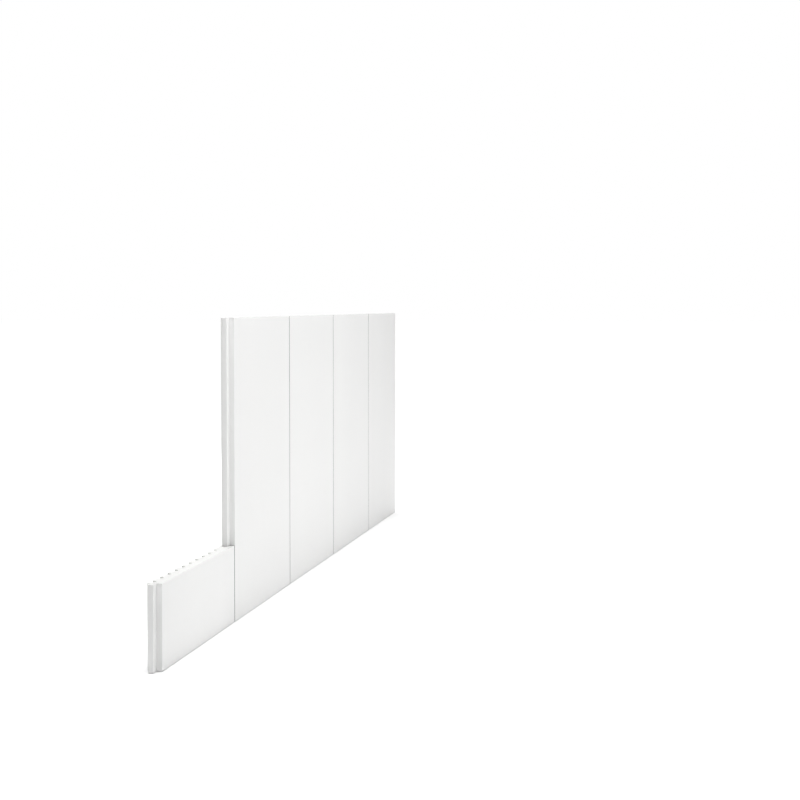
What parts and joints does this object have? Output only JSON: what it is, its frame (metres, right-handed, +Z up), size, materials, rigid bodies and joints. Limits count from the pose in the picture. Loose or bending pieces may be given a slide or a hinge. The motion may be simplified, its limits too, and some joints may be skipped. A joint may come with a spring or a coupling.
{
  "type": "flat wall panelling moulding",
  "caption": "Run of flat white wall panelling boards with tongue and slot edges and a ribbed back, stepped down to a low board at one end and cut to meet a corner at the other.",
  "frame": {"origin": "on the wall plane, on the back of a rib of the middle board, halfway up the tall boards", "axes": "+X along the run from the tongue to the cut end, +Y into the wall, +Z up"},
  "size_m": [1.234, 0.012, 0.27],
  "materials": {
    "primed_polymer": "matte white primed polystyrene moulding, ready to paint"
  },
  "bodies": {
    "root": {"short_board": "primed_polymer", "tall_board_1": "primed_polymer", "tall_board_2": "primed_polymer", "tall_board_3": "primed_polymer", "end_board": "primed_polymer"}
  },
  "joints": []
}
